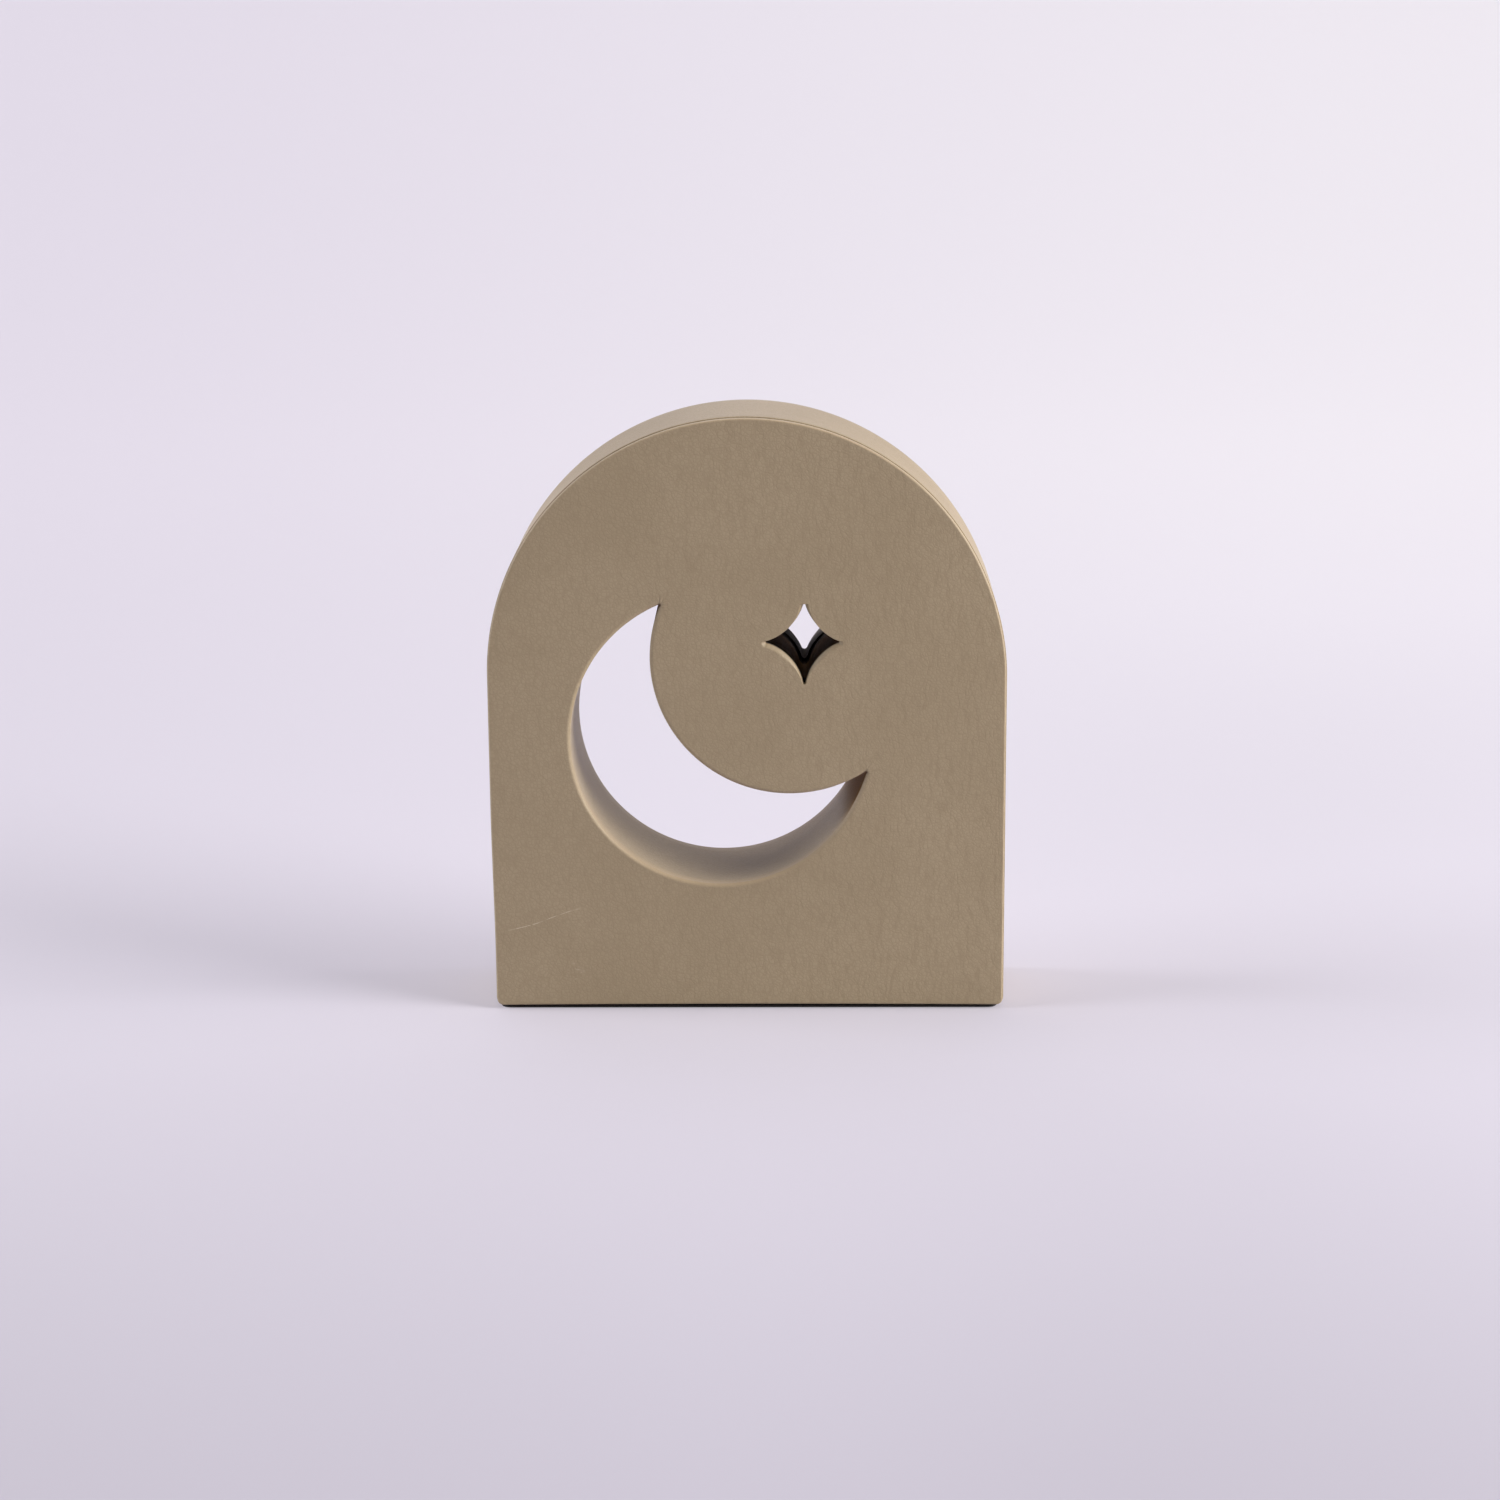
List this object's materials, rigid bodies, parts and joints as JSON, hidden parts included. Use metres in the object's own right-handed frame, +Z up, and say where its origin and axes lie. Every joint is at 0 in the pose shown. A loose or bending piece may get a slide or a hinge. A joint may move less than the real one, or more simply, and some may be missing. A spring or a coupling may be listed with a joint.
{
  "type": "arch moon ornament",
  "caption": "Free-standing arch-shaped shelf ornament wrapped in leatherette, with a crescent moon and a four-pointed star cut right through it.",
  "frame": {"origin": "middle of the underside, on the surface that the ornament stands on", "axes": "+Z up, -Y out of the front face, +X to the viewer's right"},
  "size_m": [0.17, 0.047, 0.199],
  "materials": {
    "leatherette": "semi-matte, fine pebble grain",
    "fibreboard": "raw board, dark charred cut edge in the star",
    "dowel_wood": "plain beech",
    "felt": "matte needled felt"
  },
  "bodies": {
    "root": {"front_cover": "leatherette", "back_cover": "leatherette", "side_band": "leatherette", "crescent_lining_outer": "leatherette", "crescent_lining_inner": "leatherette", "core_board_1": "fibreboard", "core_board_2": "fibreboard", "core_board_3": "fibreboard", "core_board_4": "fibreboard", "core_board_5": "fibreboard", "dowel_1": "dowel_wood", "dowel_2": "dowel_wood", "dowel_3": "dowel_wood", "dowel_4": "dowel_wood", "base_pad": "felt"}
  },
  "joints": []
}
